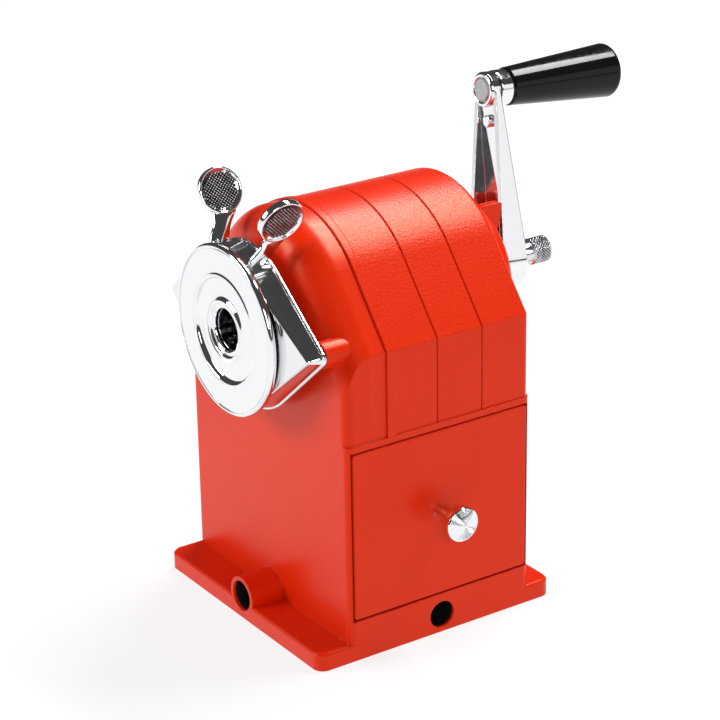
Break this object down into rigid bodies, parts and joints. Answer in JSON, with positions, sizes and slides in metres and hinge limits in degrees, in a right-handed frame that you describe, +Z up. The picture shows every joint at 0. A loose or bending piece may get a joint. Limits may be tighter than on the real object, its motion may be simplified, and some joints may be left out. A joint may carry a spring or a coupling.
{
  "type": "hand-cranked desk pencil sharpener",
  "caption": "Cast desk pencil sharpener with a rear crank, a spring-fed carriage worked by squeeze levers, a helical cutter and a shavings drawer.",
  "frame": {"origin": "centre of the base's underside", "axes": "+Z up, +Y from the pencil mouth towards the crank, +X towards the drawer's front"},
  "size_m": [0.0809, 0.1265, 0.1228],
  "materials": {
    "red_enamel": "satin enamel",
    "red_grain_enamel": "fine grained enamel",
    "chrome_plate": "polished",
    "ground_steel": "ground",
    "zinc_steel": "zinc plated",
    "spring_steel": "drawn wire",
    "tool_steel": "hardened and ground",
    "gear_steel": "machined",
    "cast_carrier": "cast and oiled",
    "bearing_brass": "turned",
    "black_grip": "high gloss",
    "tray_plastic": "matte"
  },
  "bodies": {
    "housing": {"main_casting": "red_enamel", "rear_hood": "red_grain_enamel", "hood_screws": "zinc_steel", "shaft_bush": "bearing_brass", "ring_gear": "gear_steel", "ring_gear_screws": "zinc_steel", "feed_springs": "spring_steel"},
    "cover": {"rear_cover": "red_enamel"},
    "carriage": {"face_disc": "chrome_plate", "carriage_plate": "chrome_plate", "chuck_barrel": "chrome_plate", "guide_rods": "ground_steel", "rod_stops": "zinc_steel", "lever_pins": "ground_steel"},
    "lever_right": {"lever_right": "chrome_plate"},
    "lever_left": {"lever_left": "chrome_plate"},
    "jaw_top": {"jaw_top": "tool_steel"},
    "jaw_left": {"jaw_left": "tool_steel"},
    "jaw_right": {"jaw_right": "tool_steel"},
    "cutting_unit": {"cutter_carrier": "cast_carrier", "cutter_axle": "tool_steel", "drive_shaft": "ground_steel", "crank_hub": "chrome_plate", "crank_arm": "chrome_plate", "arm_stud": "chrome_plate", "handle_spindle": "chrome_plate"},
    "cutter": {"helical_cutter": "tool_steel", "cutter_pinion": "gear_steel"},
    "grip": {"handle_ferrule": "chrome_plate", "handle_grip": "black_grip"},
    "adjuster": {"adjuster_knob": "chrome_plate"},
    "drawer": {"drawer_front": "red_enamel", "drawer_tray": "tray_plastic", "drawer_knob": "chrome_plate", "drawer_knob_screw": "zinc_steel"}
  },
  "joints": [
    {"name": "cover_turn", "type": "hinge", "parent": "housing", "child": "cover", "pos_m": [0, 0.032, 0.0768], "axis": [0, 1, 0], "range_deg": [0, 30]},
    {"name": "feed_slide", "type": "slide", "parent": "housing", "child": "carriage", "axis": [0, -1, 0], "range_m": [0, 0.022], "stiffness_N_per_m": 150, "springref_m": -0.01, "deforming": ["feed_springs"]},
    {"name": "lever_right_squeeze", "type": "hinge", "parent": "carriage", "child": "lever_right", "pos_m": [0.00524, -0.0325, 0.08826], "axis": [0, -1, 0], "range_deg": [0, 12], "stiffness_Nm_per_rad": 0.4, "springref_deg": -3.44},
    {"name": "lever_left_squeeze", "type": "hinge", "parent": "carriage", "child": "lever_left", "pos_m": [-0.00524, -0.0325, 0.08826], "axis": [0, 1, 0], "range_deg": [0, 12]},
    {"name": "jaw_top_open", "type": "slide", "parent": "carriage", "child": "jaw_top", "axis": [0, 0, 1], "range_m": [0, 0.0028]},
    {"name": "jaw_left_open", "type": "slide", "parent": "carriage", "child": "jaw_left", "axis": [-0.866, 0, -0.5], "range_m": [0, 0.0028]},
    {"name": "jaw_right_open", "type": "slide", "parent": "carriage", "child": "jaw_right", "axis": [0.866, 0, -0.5], "range_m": [0, 0.0028]},
    {"name": "crank_spin", "type": "hinge", "parent": "housing", "child": "cutting_unit", "pos_m": [0, 0.03, 0.0768], "axis": [0, 1, 0], "continuous": true},
    {"name": "cutter_spin", "type": "hinge", "parent": "cutting_unit", "child": "cutter", "pos_m": [0, 0.004, 0.0856], "axis": [0, 1, 0], "continuous": true},
    {"name": "grip_spin", "type": "hinge", "parent": "cutting_unit", "child": "grip", "pos_m": [-0.01312, 0.05151, 0.11717], "axis": [0, 0.9993, -0.0384], "continuous": true},
    {"name": "point_adjust", "type": "hinge", "parent": "cutting_unit", "child": "adjuster", "pos_m": [0, 0.055, 0.0768], "axis": [0, 1, 0], "range_deg": [0, 270]},
    {"name": "drawer_slide", "type": "slide", "parent": "housing", "child": "drawer", "axis": [1, 0, 0], "range_m": [0, 0.055]}
  ],
  "couplings": [
    {"joint": "lever_left_squeeze", "follows": "lever_right_squeeze", "ratio": 1},
    {"joint": "jaw_top_open", "follows": "lever_right_squeeze", "m_per_rad": 0.01336},
    {"joint": "jaw_left_open", "follows": "lever_right_squeeze", "m_per_rad": 0.01336},
    {"joint": "jaw_right_open", "follows": "lever_right_squeeze", "m_per_rad": 0.01336},
    {"joint": "cutter_spin", "follows": "crank_spin", "ratio": -2.5714}
  ]
}
